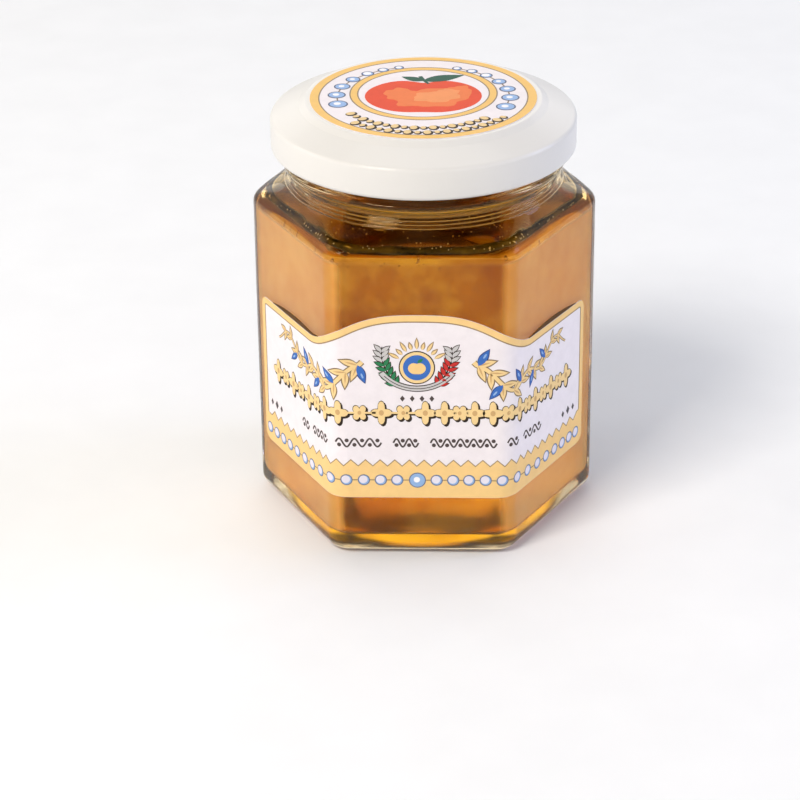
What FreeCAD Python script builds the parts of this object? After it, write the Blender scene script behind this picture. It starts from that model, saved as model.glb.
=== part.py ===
"""A hexagonal glass jar of apple jelly, closed with a white twist-off lid.

Frame: millimetres, +Z up. The origin is the centre of the jar's base, on the surface it stands on,
and the middle of the front panel, which carries the label, faces -Y.
"""

import FreeCAD, Part
import math
import os

import Sketcher
from FreeCAD import Vector

# The driving dimensions, in millimetres and degrees. Every other size is worked out from them.
SIZES = [
    ("across_flats", 61.3, "glass body, panel to opposite panel"),
    ("corner_radius", 5.0, "upright edges between the panels"),
    ("inner_corner_radius", 3.2, "the same edges inside the glass"),
    ("side_height", 65.0, "base to the top of the flat panels"),
    ("glass_wall", 2.3, "panels and shoulder"),
    ("base_thickness", 3.4, "floor of the jar"),
    ("heel_radius", 3.0, "outer edge of the base"),
    ("floor_radius", 2.4, "inner edge of the floor"),
    ("punt_radius", 22.0, "shallow hollow under the base"),
    ("punt_depth", 1.4, "height of that hollow"),
    ("shoulder_radius", 3.0, "rounding from the panels into the shoulder"),
    ("shoulder_turn", 50.0, "how far that rounding turns, in degrees"),
    ("shoulder_rise", 7.4, "top of the panels to the foot of the neck"),
    ("neck_radius", 26.8, "outside of the neck, between its threads"),
    ("neck_wall", 2.5, "glass of the neck"),
    ("thread_depth", 1.6, "room for the threads outside the neck"),
    ("finish_height", 12.1, "foot of the neck to the rim"),
    ("bead_lift", 2.3, "foot of the neck to the middle of the transfer bead"),
    ("bead_radius", 1.1, "roundness of the bead"),
    ("bead_depth", 1.5, "how far the bead stands out of the neck"),
    ("rim_radius", 1.0, "rounding of the rim"),
    ("headspace", 19.5, "rim down to the surface of the jelly"),
    ("tinplate", 0.25, "sheet of the lid"),
    ("curl_radius", 0.9, "rolled lower edge of the lid"),
    ("curl_clearance", 0.4, "threads to the inside of the rolled edge"),
    ("skirt_height", 6.5, "lower edge of the lid to the top of its skirt"),
    ("skirt_drop", 0.5, "rim down to the top of the skirt"),
    ("crown_slope", 22.0, "slope of the crown between panel and skirt, in degrees"),
    ("crown_width", 5.7, "skirt to the foot of the raised panel, seen from above"),
    ("panel_step", 0.9, "height of that panel over the crown"),
    ("step_run", 1.3, "width of the slope round the panel"),
    ("bend_radius", 0.9, "outer bends of the lid"),
    ("lug_count", 4, "lugs that grip the threads"),
    ("lug_angle", 26.0, "width of one lug, in degrees"),
    ("lug_clearance", 0.5, "neck to the tip of a lug"),
    ("lug_thickness", 0.7, "folded tinplate of a lug"),
    ("seal_margin", 0.6, "sealing ring beyond the outer edge of the rim"),
    ("paper", 0.12, "thickness of both labels"),
    ("label_bottom", 13.3, "base to the lower edge of the front label"),
    ("label_end_top", 45.9, "base to the upper edge of its ends"),
    ("label_crest", 53.7, "base to the top of its middle"),
    ("crest_half_width", 26.0, "middle of the label to the foot of its crest, along the glass"),
    ("crest_fullness", 1.5, "how broad the top of the crest is, where 1 is a plain wave"),
    ("label_margin", 5.0, "end of the label to the middle of the upright edge behind it"),
    ("label_corner", 2.0, "rounded corners of the front label"),
    ("label_shift", -0.6, "middle of the front panel to the middle of the label"),
    ("lid_label_margin", 0.95, "edge of the round label to the edge of the lid's panel"),
]
ALIASES = {alias for alias, _, _ in SIZES}
SIDES = 6
HALF_SIDE = math.pi / SIDES

doc = FreeCAD.newDocument("jelly_jar")
sheet = doc.addObject("Spreadsheet::Sheet", "Sizes")
for line, (alias, value, note) in enumerate(SIZES, start=1):
    sheet.set(f"A{line}", alias)
    sheet.set(f"B{line}", str(value))
    sheet.set(f"C{line}", note)
    sheet.setAlias(f"B{line}", alias)
doc.recompute()


def size(alias):
    """The value of one cell of the sheet."""
    return float(getattr(sheet, alias))


def in_sheet(expression):
    """The expression with each alias written as a cell of the sheet."""
    words = expression.replace("(", "( ").replace(")", " )").split()
    return " ".join(f"Sizes.{word}" if word in ALIASES else word for word in words)


def bind(target, **expressions):
    """Ties an object's properties to the sheet."""
    for name, expression in expressions.items():
        target.setExpression(name, in_sheet(expression))


def raise_to(target, expression):
    """Ties an object's height above the base to the sheet."""
    target.setExpression("Placement.Base.z", in_sheet(expression))


# Heights and radii that several pieces share, as expressions of the sheet's cells.
NECK_FOOT = "( side_height + shoulder_rise )"
RIM = f"( {NECK_FOOT} + finish_height )"
SKIRT_TOP = f"( {RIM} - skirt_drop )"
LID_BOTTOM = f"( {SKIRT_TOP} - skirt_height )"
SKIRT = "( neck_radius + thread_depth + curl_clearance + 2 * curl_radius )"
STEP_FOOT = f"( {SKIRT} - crown_width )"
PANEL = f"( {STEP_FOOT} - step_run )"
SLOPE = "( crown_slope * 1 deg )"


def crown_height(radius):
    """Height of the crown's outer face at a radius between the panel's step and the skirt."""
    return f"( {SKIRT_TOP} + ( {SKIRT} - {radius} ) * tan( {SLOPE} ) )"


PANEL_TOP = f"( {crown_height(STEP_FOOT)} + panel_step )"


def worked_out(name, shape):
    """A Part::Feature for a shape that Part's own functions make from the sheet's sizes."""
    made = doc.addObject("Part::Feature", name)
    made.Shape = shape
    return made


def combined(kind, name, base, tool):
    """A Part::Cut or Part::Common of two objects."""
    made = doc.addObject(kind, name)
    made.Base = base
    made.Tool = tool
    return made


def fused(name, pieces):
    """One solid of several that share faces or overlap."""
    made = doc.addObject("Part::MultiFuse", name)
    made.Shapes = pieces
    made.Refine = True
    return made


def edges_at(shape, *spots):
    """Numbers of the circular edges at these pairs of radius and height."""
    near = 1e-4
    numbers = []
    for number, edge in enumerate(shape.Edges, start=1):
        if edge.Degenerated or not isinstance(edge.Curve, Part.Circle):
            continue
        for radius, height in spots:
            if abs(edge.Curve.Radius - radius) < near and abs(edge.Curve.Center.z - height) < near:
                numbers.append(number)
    return numbers


# ---------------------------------------------------------------- hexagonal shapes


def outward(turn):
    """Unit vector at an angle from the front panel's middle, anticlockwise seen from above."""
    return Vector(math.sin(turn), -math.cos(turn), 0)


def corner_arc(centre, radius, start, end):
    """An upright edge's arc, or a part of a circle, between two angles."""
    ends = [centre + outward(turn) * radius for turn in (start, (start + end) / 2, end)]
    return Part.Arc(*ends).toShape()


def circle_of_arcs(radius, height):
    """A circle in as many edges as a hexagon with rounded corners has."""
    centre = Vector(0, 0, height)
    turns = [(n - 0.5) * HALF_SIDE for n in range(2 * SIDES)]
    return Part.Wire([corner_arc(centre, radius, turn, turn + HALF_SIDE) for turn in turns])


def hexagon(half_flats, corner, height):
    """A closed line of six flats and six corner arcs."""
    reach = (half_flats - corner) / math.cos(HALF_SIDE)
    edges = []
    for side in range(SIDES):
        middle = 2 * HALF_SIDE * side
        last, following = (
            outward(middle + turn) * reach + Vector(0, 0, height) for turn in (-HALF_SIDE, HALF_SIDE)
        )
        offset = outward(middle) * corner
        edges.append(Part.LineSegment(last + offset, following + offset).toShape())
        edges.append(corner_arc(following, corner, middle, middle + 2 * HALF_SIDE))
    return Part.Wire(edges)


def prism(half_flats, corner, bottom, top):
    """An upright hexagonal block with rounded corners."""
    return Part.Face(hexagon(half_flats, corner, bottom)).extrude(Vector(0, 0, top - bottom))


def shoulder(half_flats, corner, neck, foot, rounding):
    """The solid that turns from the hexagon, over a rounding, to the round foot of the neck."""
    neck_foot = size("side_height") + size("shoulder_rise")
    turn = math.radians(size("shoulder_turn"))
    arc = []
    for share in (0, 0.25, 0.5, 0.75, 1):
        inward = rounding * (1 - math.cos(share * turn))
        rise = rounding * math.sin(share * turn)
        arc.append((half_flats - inward, corner + inward, foot + rise))
    last_flats, last_corner, last_height = arc[-1]
    slope = [arc[-1]]
    for sideways, upward in ((0.36, 0.33), (0.7, 0.66)):
        slope.append((
            last_flats + sideways * (neck - last_flats),
            last_corner + sideways * (neck - last_corner),
            last_height + upward * (neck_foot - last_height),
        ))
    rounded = Part.makeLoft([hexagon(*section) for section in arc], True)
    wires = [hexagon(*section) for section in slope] + [circle_of_arcs(neck, neck_foot)]
    return rounded.fuse(Part.makeLoft(wires, True))


def vessel(inset, corner, neck, bottom, rounding):
    """The hexagonal body, inset from the outside, from its rounded lower edge to the foot of the neck."""
    half_flats = size("across_flats") / 2 - inset
    foot = size("side_height") - inset / 2
    panels = prism(half_flats, corner, bottom, foot)
    lowest = [edge for edge in panels.Edges if edge.BoundBox.ZMax < bottom + rounding / 2]
    top = shoulder(half_flats, corner, neck, foot, size("shoulder_radius") - inset / 2)
    return panels.makeFillet(rounding, lowest).fuse(top)


# ---------------------------------------------------------------- sketches of the lid


def radial_sketch(body, name):
    """A sketch on the body's XZ plane, so its X is a radius and its Y a height."""
    plane = next(item for item in body.Origin.OriginFeatures if item.Role == "XZ_Plane")
    sketch = body.newObject("Sketcher::SketchObject", name)
    sketch.AttachmentSupport = [(plane, "")]
    sketch.MapMode = "FlatFace"
    return sketch


def hold(sketch, way, geometry, point, expression):
    """Holds a point of a sketch at a distance from the origin."""
    index = sketch.addConstraint(Sketcher.Constraint(way, -1, 1, geometry, point, 1.0 + geometry))
    sketch.setExpression(f"Constraints[{index}]", in_sheet(expression))


def outline(body, name, corners):
    """A closed polygon of radius and height pairs, as expressions. A radius of None is on the axis."""
    sketch = radial_sketch(body, name)
    count = len(corners)
    turns = [2 * math.pi * n / count for n in range(count)]
    rough = [Vector(math.cos(turn), math.sin(turn), 0) for turn in turns]
    for n in range(count):
        sketch.addGeometry(Part.LineSegment(rough[n], rough[(n + 1) % count]), False)
    for n, (radius, height) in enumerate(corners):
        sketch.addConstraint(Sketcher.Constraint("Coincident", n, 2, (n + 1) % count, 1))
        if radius is None:
            sketch.addConstraint(Sketcher.Constraint("PointOnObject", n, 1, -2))
        else:
            hold(sketch, "DistanceX", n, 1, radius)
        hold(sketch, "DistanceY", n, 1, height)
    return sketch


def revolved(body, name, sketch):
    """A PartDesign Revolution of a sketch about the jar's axis."""
    turned = body.newObject("PartDesign::Revolution", name)
    turned.Profile = sketch
    turned.ReferenceAxis = (sketch, ["V_Axis"])
    turned.Angle = 360
    return turned


# ---------------------------------------------------------------- glass and jelly


def make_cavity():
    """The space inside the glass, from the floor to the rim."""
    bore_radius = size("neck_radius") - size("neck_wall")
    inside = worked_out("body_inside", vessel(
        size("glass_wall"),
        size("inner_corner_radius"),
        bore_radius,
        size("base_thickness"),
        size("floor_radius"),
    ))
    bore = doc.addObject("Part::Cylinder", "bore")
    bind(bore, Radius="neck_radius - neck_wall", Height="finish_height")
    raise_to(bore, NECK_FOOT)
    return fused("cavity", [inside, bore])


def make_jar(cavity):
    """The glass: a hexagonal body that turns round at its shoulder, and a neck for a twist-off lid."""
    outside = worked_out(
        "body_outside",
        vessel(0, size("corner_radius"), size("neck_radius"), 0, size("heel_radius")),
    )
    neck = doc.addObject("Part::Cylinder", "neck_outside")
    bind(neck, Radius="neck_radius", Height="finish_height")
    raise_to(neck, NECK_FOOT)
    bead = doc.addObject("Part::Torus", "transfer_bead")
    bind(bead, Radius1="neck_radius + bead_depth - bead_radius", Radius2="bead_radius")
    raise_to(bead, f"{NECK_FOOT} + bead_lift")
    filled = fused("glass_filled", [outside, neck, bead])
    hollow = combined("Part::Cut", "glass_hollow", filled, cavity)

    punt_curve = "( ( punt_radius ^ 2 + punt_depth ^ 2 ) / ( 2 * punt_depth ) )"
    punt = doc.addObject("Part::Sphere", "punt")
    bind(punt, Radius=punt_curve)
    raise_to(punt, f"punt_depth - {punt_curve}")
    standing = combined("Part::Cut", "glass_on_punt", hollow, punt)
    doc.recompute()

    rim = size("side_height") + size("shoulder_rise") + size("finish_height")
    neck_radius = size("neck_radius")
    rim_edges = edges_at(standing.Shape, (neck_radius, rim), (neck_radius - size("neck_wall"), rim))
    rounding = size("rim_radius")
    jar = doc.addObject("Part::Fillet", "jar")
    jar.Base = standing
    jar.Edges = [(number, rounding, rounding) for number in rim_edges]
    return jar


def make_jelly(cavity):
    """The jelly: it fills the glass up to its surface, where the shoulder begins."""
    below = doc.addObject("Part::Cylinder", "below_surface")
    bind(below, Radius="across_flats", Height=f"{RIM} - headspace")
    return combined("Part::Common", "jelly", cavity, below)


# ---------------------------------------------------------------- lid


def make_cap(body):
    """The lid's sheet: a raised panel, a sloping crown and a skirt, open below."""
    solid_cap = revolved(body, "cap", outline(body, "cap_outline", [
        (None, PANEL_TOP),
        (PANEL, PANEL_TOP),
        (STEP_FOOT, crown_height(STEP_FOOT)),
        (SKIRT, SKIRT_TOP),
        (SKIRT, f"{LID_BOTTOM} + curl_radius"),
        (None, f"{LID_BOTTOM} + curl_radius"),
    ]))
    doc.recompute()

    skirt_top = size("side_height") + size("shoulder_rise") + size("finish_height") - size("skirt_drop")
    skirt = size("neck_radius") + size("thread_depth") + size("curl_clearance") + 2 * size("curl_radius")
    step_foot = skirt - size("crown_width")
    crown_top = skirt_top + size("crown_width") * math.tan(math.radians(size("crown_slope")))
    bent = edges_at(
        solid_cap.Shape,
        (step_foot - size("step_run"), crown_top + size("panel_step")),
        (step_foot, crown_top),
        (skirt, skirt_top),
    )
    bends = body.newObject("PartDesign::Fillet", "bends")
    bends.Base = (solid_cap, [f"Edge{number}" for number in bent])
    bind(bends, Radius="bend_radius")
    doc.recompute()

    faces = bends.Shape.Faces
    lowest = min(range(len(faces)), key=lambda number: faces[number].CenterOfMass.z)
    shell = body.newObject("PartDesign::Thickness", "shell")
    shell.Base = (bends, [f"Face{lowest + 1}"])
    shell.Reversed = True
    bind(shell, Value="tinplate")
    doc.recompute()


def make_curl(body):
    """The rolled lower edge of the skirt."""
    sketch = radial_sketch(body, "curl_outline")
    sketch.addGeometry(Part.Circle(Vector(1, 1, 0), Vector(0, 0, 1), 0.5), False)
    hold(sketch, "DistanceX", 0, 3, f"{SKIRT} - curl_radius")
    hold(sketch, "DistanceY", 0, 3, f"{LID_BOTTOM} + curl_radius")
    radius = sketch.addConstraint(Sketcher.Constraint("Radius", 0, 0.5))
    sketch.setExpression(f"Constraints[{radius}]", in_sheet("curl_radius"))
    revolved(body, "curl", sketch)


def make_lugs(body):
    """The lugs: folds of the rolled edge that reach in under the threads."""
    tip, root = "neck_radius + lug_clearance", f"{SKIRT} - curl_radius"
    bottom = f"{LID_BOTTOM} + curl_radius - lug_thickness / 2"
    sketch = outline(body, "lug_outline", [
        (tip, bottom),
        (root, bottom),
        (root, f"{bottom} + lug_thickness"),
        (tip, f"{bottom} + lug_thickness"),
    ])
    lug = revolved(body, "lug", sketch)
    lug.Midplane = True
    bind(lug, Angle="lug_angle")
    doc.recompute()
    lugs = body.newObject("PartDesign::PolarPattern", "lugs")
    lugs.Originals = [lug]
    lugs.Axis = (sketch, ["V_Axis"])
    lugs.Angle = 360
    bind(lugs, Occurrences="lug_count")
    body.Tip = lugs


def make_lid():
    """The twist-off lid, of one sheet of tinplate."""
    body = doc.addObject("PartDesign::Body", "lid")
    make_cap(body)
    make_curl(body)
    make_lugs(body)
    return body


def make_seal():
    """The sealing ring: compound cast under the crown, which lies on the jar's rim."""
    outer = "( neck_radius + seal_margin )"
    sheet_depth = f"tinplate / cos( {SLOPE} )"
    body = doc.addObject("PartDesign::Body", "lid_seal")
    revolved(body, "seal_ring", outline(body, "seal_outline", [
        (STEP_FOOT, RIM),
        (outer, RIM),
        (outer, f"{crown_height(outer)} - {sheet_depth}"),
        (STEP_FOOT, f"{crown_height(STEP_FOOT)} - {sheet_depth}"),
    ]))
    return body


# ---------------------------------------------------------------- labels


def half_panel():
    """Middle of a flat panel to where its rounded corner starts."""
    return (size("across_flats") / 2 - size("corner_radius")) * math.tan(HALF_SIDE)


def label_half_length():
    """Middle of the label to its end, along the glass."""
    corner_length = size("corner_radius") * 2 * HALF_SIDE
    return 3 * half_panel() + 1.5 * corner_length - size("label_margin")


def along_glass(distance):
    """The point of the glass, seen from above, this far round from the front panel's middle."""
    corner = size("corner_radius")
    corner_length = corner * 2 * HALF_SIDE
    left = abs(distance)
    turn = 0.0
    point = Vector(0, -size("across_flats") / 2, 0)
    flat_length = half_panel()
    while left > 0:
        run = min(left, flat_length)
        point += Vector(math.cos(turn), math.sin(turn), 0) * run
        left -= run
        arc = min(left, corner_length)
        centre = point - outward(turn) * corner
        turn += arc / corner
        point = centre + outward(turn) * corner
        left -= arc
        flat_length = 2 * half_panel()
    return Vector(math.copysign(point.x, distance), point.y, 0)


def crest_height(distance):
    """Upper edge of the label: level at its ends, with a crest in its middle."""
    low = size("label_end_top")
    rise = size("label_crest") - low
    share = (abs(distance) / size("crest_half_width")) ** size("crest_fullness")
    return low + rise * (1 + math.cos(math.pi * share)) / 2


def label_outline():
    """The label's outline as seen from the front, as a face in front of the jar."""
    corner = size("label_corner")
    end = label_half_length() - corner
    bottom = size("label_bottom") + corner
    top = size("label_end_top") - corner
    crest_foot = size("crest_half_width")
    shift = size("label_shift")
    arc_steps, crest_steps = 6, 36

    def seen(distance, height):
        return Vector(along_glass(distance + shift).x, -size("across_flats"), height)

    def rounded(side, height, start):
        """A quarter of a circle on the paper, at one end of the label."""
        turns = [math.radians(start + 90 * n / arc_steps) for n in range(arc_steps + 1)]
        return [seen(side * end + corner * math.cos(t), height + corner * math.sin(t)) for t in turns]

    crest = [crest_foot * (1 - 2 * n / crest_steps) for n in range(crest_steps + 1)]
    runs = [
        rounded(1, bottom, -90),
        rounded(1, top, 0),
        [seen(distance, crest_height(distance)) for distance in crest],
        rounded(-1, top, 90),
        rounded(-1, bottom, 180),
    ]
    edges = []
    for run, following in zip(runs, runs[1:] + runs[:1]):
        curve = Part.BSplineCurve()
        curve.interpolate(run)
        edges.append(curve.toShape())
        edges.append(Part.LineSegment(run[-1], following[0]).toShape())
    return Part.Face(Part.Wire(edges))


def make_front_label():
    """The paper label that lies on the front panel and the two beside it."""
    half_flats, corner, paper = size("across_flats") / 2, size("corner_radius"), size("paper")
    spare = size("label_corner")
    low = size("label_bottom") - spare
    high = size("label_crest") + spare
    inside = prism(half_flats, corner, low, high)
    outside = prism(half_flats + paper, corner + paper, low, high)
    sleeve = worked_out("paper_sleeve", outside.cut(inside))
    reach = doc.addObject("Part::Extrusion", "label_reach")
    reach.Base = worked_out("label_face", label_outline())
    reach.DirMode = "Custom"
    reach.Dir = Vector(0, 1, 0)
    reach.Solid = True
    bind(reach, LengthFwd="across_flats")
    return combined("Part::Common", "front_label", sleeve, reach)


def make_lid_label():
    """The round paper label on the lid's raised panel."""
    disc = doc.addObject("Part::Cylinder", "lid_label")
    bind(disc, Radius=f"{PANEL} - lid_label_margin", Height="paper")
    raise_to(disc, PANEL_TOP)
    return disc


# ---------------------------------------------------------------- build


def check(pieces):
    """Stops the build if an object failed or a piece isn't a sound solid."""
    for thing in doc.Objects:
        if {"Invalid", "Error"} & set(thing.State):
            raise RuntimeError(f"{thing.Name} failed: {thing.State}")
    for label, piece in pieces.items():
        if piece.Shape.isNull() or not piece.Shape.isValid() or len(piece.Shape.Solids) != 1:
            raise RuntimeError(f"{label} isn't one sound solid")


def main():
    cavity = make_cavity()
    pieces = {
        "jar": make_jar(cavity),
        "jelly": make_jelly(cavity),
        "lid": make_lid(),
        "lid_seal": make_seal(),
        "front_label": make_front_label(),
        "lid_label": make_lid_label(),
    }
    for label, piece in pieces.items():
        piece.Label = label
    doc.recompute()
    check(pieces)
    os.makedirs("parts", exist_ok=True)
    for label, piece in pieces.items():
        piece.Shape.exportStep(f"parts/{label}.step")
        box = piece.Shape.BoundBox
        volume = piece.Shape.Volume / 1000
        print(f"{label}: {volume:.3f} ml, {box.XLength:.1f} x {box.YLength:.1f} x {box.ZLength:.1f} mm")


main()
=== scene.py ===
"""Looks of a hexagonal jar of apple jelly with a white twist-off lid and printed paper labels.

Sizes are in millimetres. Meshes are written in metres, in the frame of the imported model.
"""

import math
import random

import bmesh
import bpy
import numpy as np
from mathutils import Matrix, Vector, noise
from mathutils.geometry import tessellate_polygon


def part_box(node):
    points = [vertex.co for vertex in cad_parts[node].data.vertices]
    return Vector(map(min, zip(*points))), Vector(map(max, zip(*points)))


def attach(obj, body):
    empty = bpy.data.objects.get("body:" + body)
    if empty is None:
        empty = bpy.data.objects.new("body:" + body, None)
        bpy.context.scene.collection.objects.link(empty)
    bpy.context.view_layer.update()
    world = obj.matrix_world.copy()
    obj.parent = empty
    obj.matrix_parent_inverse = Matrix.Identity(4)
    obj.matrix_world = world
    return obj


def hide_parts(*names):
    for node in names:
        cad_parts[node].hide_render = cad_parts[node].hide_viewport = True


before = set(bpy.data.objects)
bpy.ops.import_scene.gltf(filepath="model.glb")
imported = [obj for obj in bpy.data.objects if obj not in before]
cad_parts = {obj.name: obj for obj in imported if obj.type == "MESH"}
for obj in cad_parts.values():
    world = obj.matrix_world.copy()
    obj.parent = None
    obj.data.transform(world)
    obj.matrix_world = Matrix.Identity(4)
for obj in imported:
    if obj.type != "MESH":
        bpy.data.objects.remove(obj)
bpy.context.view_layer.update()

MM = 0.001


def corners_mm(node):
    """Lowest and highest corner of a CAD node, in millimetres."""
    low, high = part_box(node)
    return Vector(low) / MM, Vector(high) / MM


# ---------------------------------------------------------------- sizes

JAR_HIGH = corners_mm("jar")[1]
LID_LOW, LID_HIGH = corners_mm("lid")
JELLY_TOP = corners_mm("jelly")[1].z
LABEL_LOW, LABEL_HIGH = corners_mm("front_label")
DISC_HIGH = corners_mm("lid_label")[1]

HALF_FLATS = JAR_HIGH.y
CORNER = 5.0
INNER_CORNER = 3.2
WALL = 2.3
RIM = JAR_HIGH.z
SIDE_TOP = RIM - 19.5
NECK_FOOT = SIDE_TOP + 7.4
SHOULDER = 3.0
SHOULDER_TURN = math.radians(50)
NECK = 26.8
BORE = NECK - 2.5
FLOOR = 3.4
HEEL = 3.0
FLOOR_ROUNDING = 2.4
PUNT_RADIUS = 22.0
PUNT_DEPTH = 1.4
RIM_ROUNDING = 1.0
SKIRT = (LID_HIGH.x - LID_LOW.x) / 2

SIDES = 6
HALF_SIDE = math.pi / SIDES
FLAT_STEPS = 22
ARC_STEPS = 12
RING = SIDES * (FLAT_STEPS + ARC_STEPS)
HEEL_STEPS, INNER_HEEL_STEPS = 9, 8
WALL_STEPS, INNER_WALL_STEPS = 30, 26
ROUNDING_STEPS, SHOULDER_STEPS, INNER_SHOULDER_STEPS = 9, 44, 14
NECK_STEP, INNER_NECK_STEP = 0.25, 0.8
RIM_STEPS = 6

# Amount, size and seed of the waviness of the glass.
OUTER_WAVES, INNER_WAVES = (0.05, 16, 9.0), (0.35, 11, 3.0)


# ---------------------------------------------------------------- camera, light and floor

# The camera's turn from the front, height and roll in degrees, and its distance and aim in millimetres.
VIEW_TURN, VIEW_HEIGHT, VIEW_ROLL = 2.09, 26.871, -0.639
VIEW_DISTANCE = 593.94
VIEW_AIM = Vector((-5.302, 0, 19.753))
VIEW_LENS = 127.53

# The upward part of a direction up to which the surround is bright, and at which it has faded to dark.
SURROUND_BRIGHT, SURROUND_DARK = 0.52, 0.74

FLOOR_WIDTH, FLOOR_DROP = 6, 0.05 * MM
LIGHT_AIM = Vector((0, 0, 0.045))

# Name, place, width and height, watts and colour of each soft light, in metres.
LIGHTS = (
    ("key", (-0.45, -0.55, 0.85), (0.35, 0.35), 7.8, (1.0, 0.955, 0.885)),
    ("top", (0, 0.33, 1.0), (0.7, 0.3), 1.4, (1.0, 0.98, 0.93)),
    ("left", (-1, 0.1, 0.45), (0.5, 0.5), 1.5, (1.0, 0.95, 0.90)),
    ("right", (1, 0.1, 0.45), (0.5, 0.5), 4.0, (0.52, 0.62, 1.0)),
    ("back", (0, 1.1, 0.6), (1.8, 0.6), 3.0, (1.0, 0.98, 0.95)),
)


def make_camera():
    """The camera, with its own roll about the line of sight."""
    height, roll = math.radians(VIEW_HEIGHT), math.radians(VIEW_ROLL)
    forward = Vector((0, math.cos(height), -math.sin(height)))
    right = Vector((1, 0, 0))
    up = right.cross(forward)
    rolled_right = math.cos(roll) * right + math.sin(roll) * up
    rolled_up = -math.sin(roll) * right + math.cos(roll) * up
    axes = Matrix((rolled_right, rolled_up, -forward)).transposed()
    place = Matrix.Translation((VIEW_AIM - forward * VIEW_DISTANCE) * MM) @ axes.to_4x4()
    camera = bpy.data.objects.new("camera", bpy.data.cameras.new("camera"))
    camera.data.lens = VIEW_LENS
    camera.data.sensor_width = 36
    camera.data.clip_start = 0.01
    camera.matrix_world = Matrix.Rotation(math.radians(VIEW_TURN), 4, "Z") @ place
    bpy.context.scene.collection.objects.link(camera)
    bpy.context.scene.camera = camera


def area_light(name, place, size, watts, colour):
    """A softbox that faces the middle of the jar."""
    light = bpy.data.lights.new(name, "AREA")
    light.shape = "RECTANGLE"
    light.size, light.size_y = size
    light.energy = watts
    light.color = colour
    lamp = bpy.data.objects.new(name, light)
    lamp.location = place
    lamp.rotation_euler = (LIGHT_AIM - Vector(place)).to_track_quat("-Z", "Y").to_euler()
    bpy.context.scene.collection.objects.link(lamp)


def make_surround():
    """A pale surround that is bright up to a height and dark overhead."""
    world = bpy.data.worlds.new("studio")
    world.use_nodes = True
    tree = world.node_tree
    place = tree.nodes.new("ShaderNodeTexCoord")
    parts = tree.nodes.new("ShaderNodeSeparateXYZ")
    fade = tree.nodes.new("ShaderNodeMapRange")
    background = tree.nodes["Background"]
    tree.links.new(place.outputs["Generated"], parts.inputs["Vector"])
    tree.links.new(parts.outputs["Z"], fade.inputs["Value"])
    tree.links.new(fade.outputs["Result"], background.inputs["Strength"])
    fade.inputs["From Min"].default_value = SURROUND_BRIGHT
    fade.inputs["From Max"].default_value = SURROUND_DARK
    fade.inputs["To Min"].default_value = 1.0
    fade.inputs["To Max"].default_value = 0.0
    background.inputs["Color"].default_value = (0.97, 0.98, 1.0, 1)
    bpy.context.scene.world = world


def make_studio():
    """A pale floor, the surround and the soft lights."""
    bpy.context.scene.view_settings.view_transform = "Standard"
    make_surround()
    for light in LIGHTS:
        area_light(*light)
    bpy.ops.mesh.primitive_plane_add(size=FLOOR_WIDTH, location=(0, 0, -FLOOR_DROP))
    floor = bpy.context.object
    floor.name = "floor"
    floor.data.materials.append(floor_material())


# ---------------------------------------------------------------- materials


class Nodes:
    """Short ways to build a node tree."""

    def __init__(self, name):
        self.material = bpy.data.materials.new(name)
        self.material.use_nodes = True
        self.tree = self.material.node_tree
        self.shader = self.tree.nodes["Principled BSDF"]
        self.output = self.tree.nodes["Material Output"]

    def set(self, **values):
        """Sets the shader's own sockets, an underscore standing for a space."""
        for name, value in values.items():
            self.shader.inputs[name.replace("_", " ")].default_value = value

    def node(self, kind, **inputs):
        made = self.tree.nodes.new("ShaderNode" + kind)
        for name, value in inputs.items():
            socket = made.inputs[name.replace("_", " ")]
            if isinstance(value, bpy.types.NodeSocket):
                self.tree.links.new(value, socket)
            else:
                socket.default_value = value
        return made

    def link(self, source, target):
        self.tree.links.new(source, target)

    def place(self):
        """Object coordinates, which are metres in the jar's frame."""
        return self.node("TexCoord").outputs["Object"]

    def noise(self, scale, detail=3.0, roughness=0.5, place=None):
        made = self.node("TexNoise", Scale=scale, Detail=detail, Roughness=roughness)
        self.link(place or self.place(), made.inputs["Vector"])
        return made.outputs["Fac"]

    def ramp(self, source, *stops):
        """A colour ramp through pairs of position and colour."""
        made = self.node("ValToRGB")
        self.link(source, made.inputs["Fac"])
        points = made.color_ramp.elements
        while len(points) < len(stops):
            points.new(0.5)
        for point, (position, colour) in zip(points, stops):
            point.position = position
            point.color = (*colour, 1)
        return made.outputs["Color"]

    def between(self, source, low, high, to_low=0.0, to_high=1.0):
        """A value stretched so that low gives to_low and high gives to_high, and held beyond both."""
        made = self.node(
            "MapRange", Value=source, From_Min=low, From_Max=high, To_Min=to_low, To_Max=to_high
        )
        return made.outputs["Result"]

    def math(self, operation, *values):
        made = self.node("Math")
        made.operation = operation
        for socket, value in zip(made.inputs, values):
            self.link(value, socket)
        return made.outputs["Value"]

    def mix(self, share, one, other):
        """One colour where the share is 0, the other where it is 1."""
        return self.node("MixRGB", Fac=share, Color1=one, Color2=other).outputs["Color"]

    def axes(self):
        """The object coordinates one by one."""
        return self.node("SeparateXYZ", Vector=self.place()).outputs

    def paint(self, colour):
        self.link(colour, self.shader.inputs["Base Color"])

    def mottle(self, source, dark, light):
        """A base colour that wanders between two tones."""
        self.paint(self.ramp(source, (0.3, dark), (0.7, light)))

    def bump(self, height, strength, distance):
        made = self.node("Bump", Strength=strength, Distance=distance)
        self.link(height, made.inputs["Height"])
        self.link(made.outputs["Normal"], self.shader.inputs["Normal"])


def srgb(red, green, blue):
    """A colour given as 0 to 255 in sRGB, as linear light."""
    def linear(channel):
        channel /= 255
        return channel / 12.92 if channel <= 0.04045 else ((channel + 0.055) / 1.055) ** 2.4
    return linear(red), linear(green), linear(blue)


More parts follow.
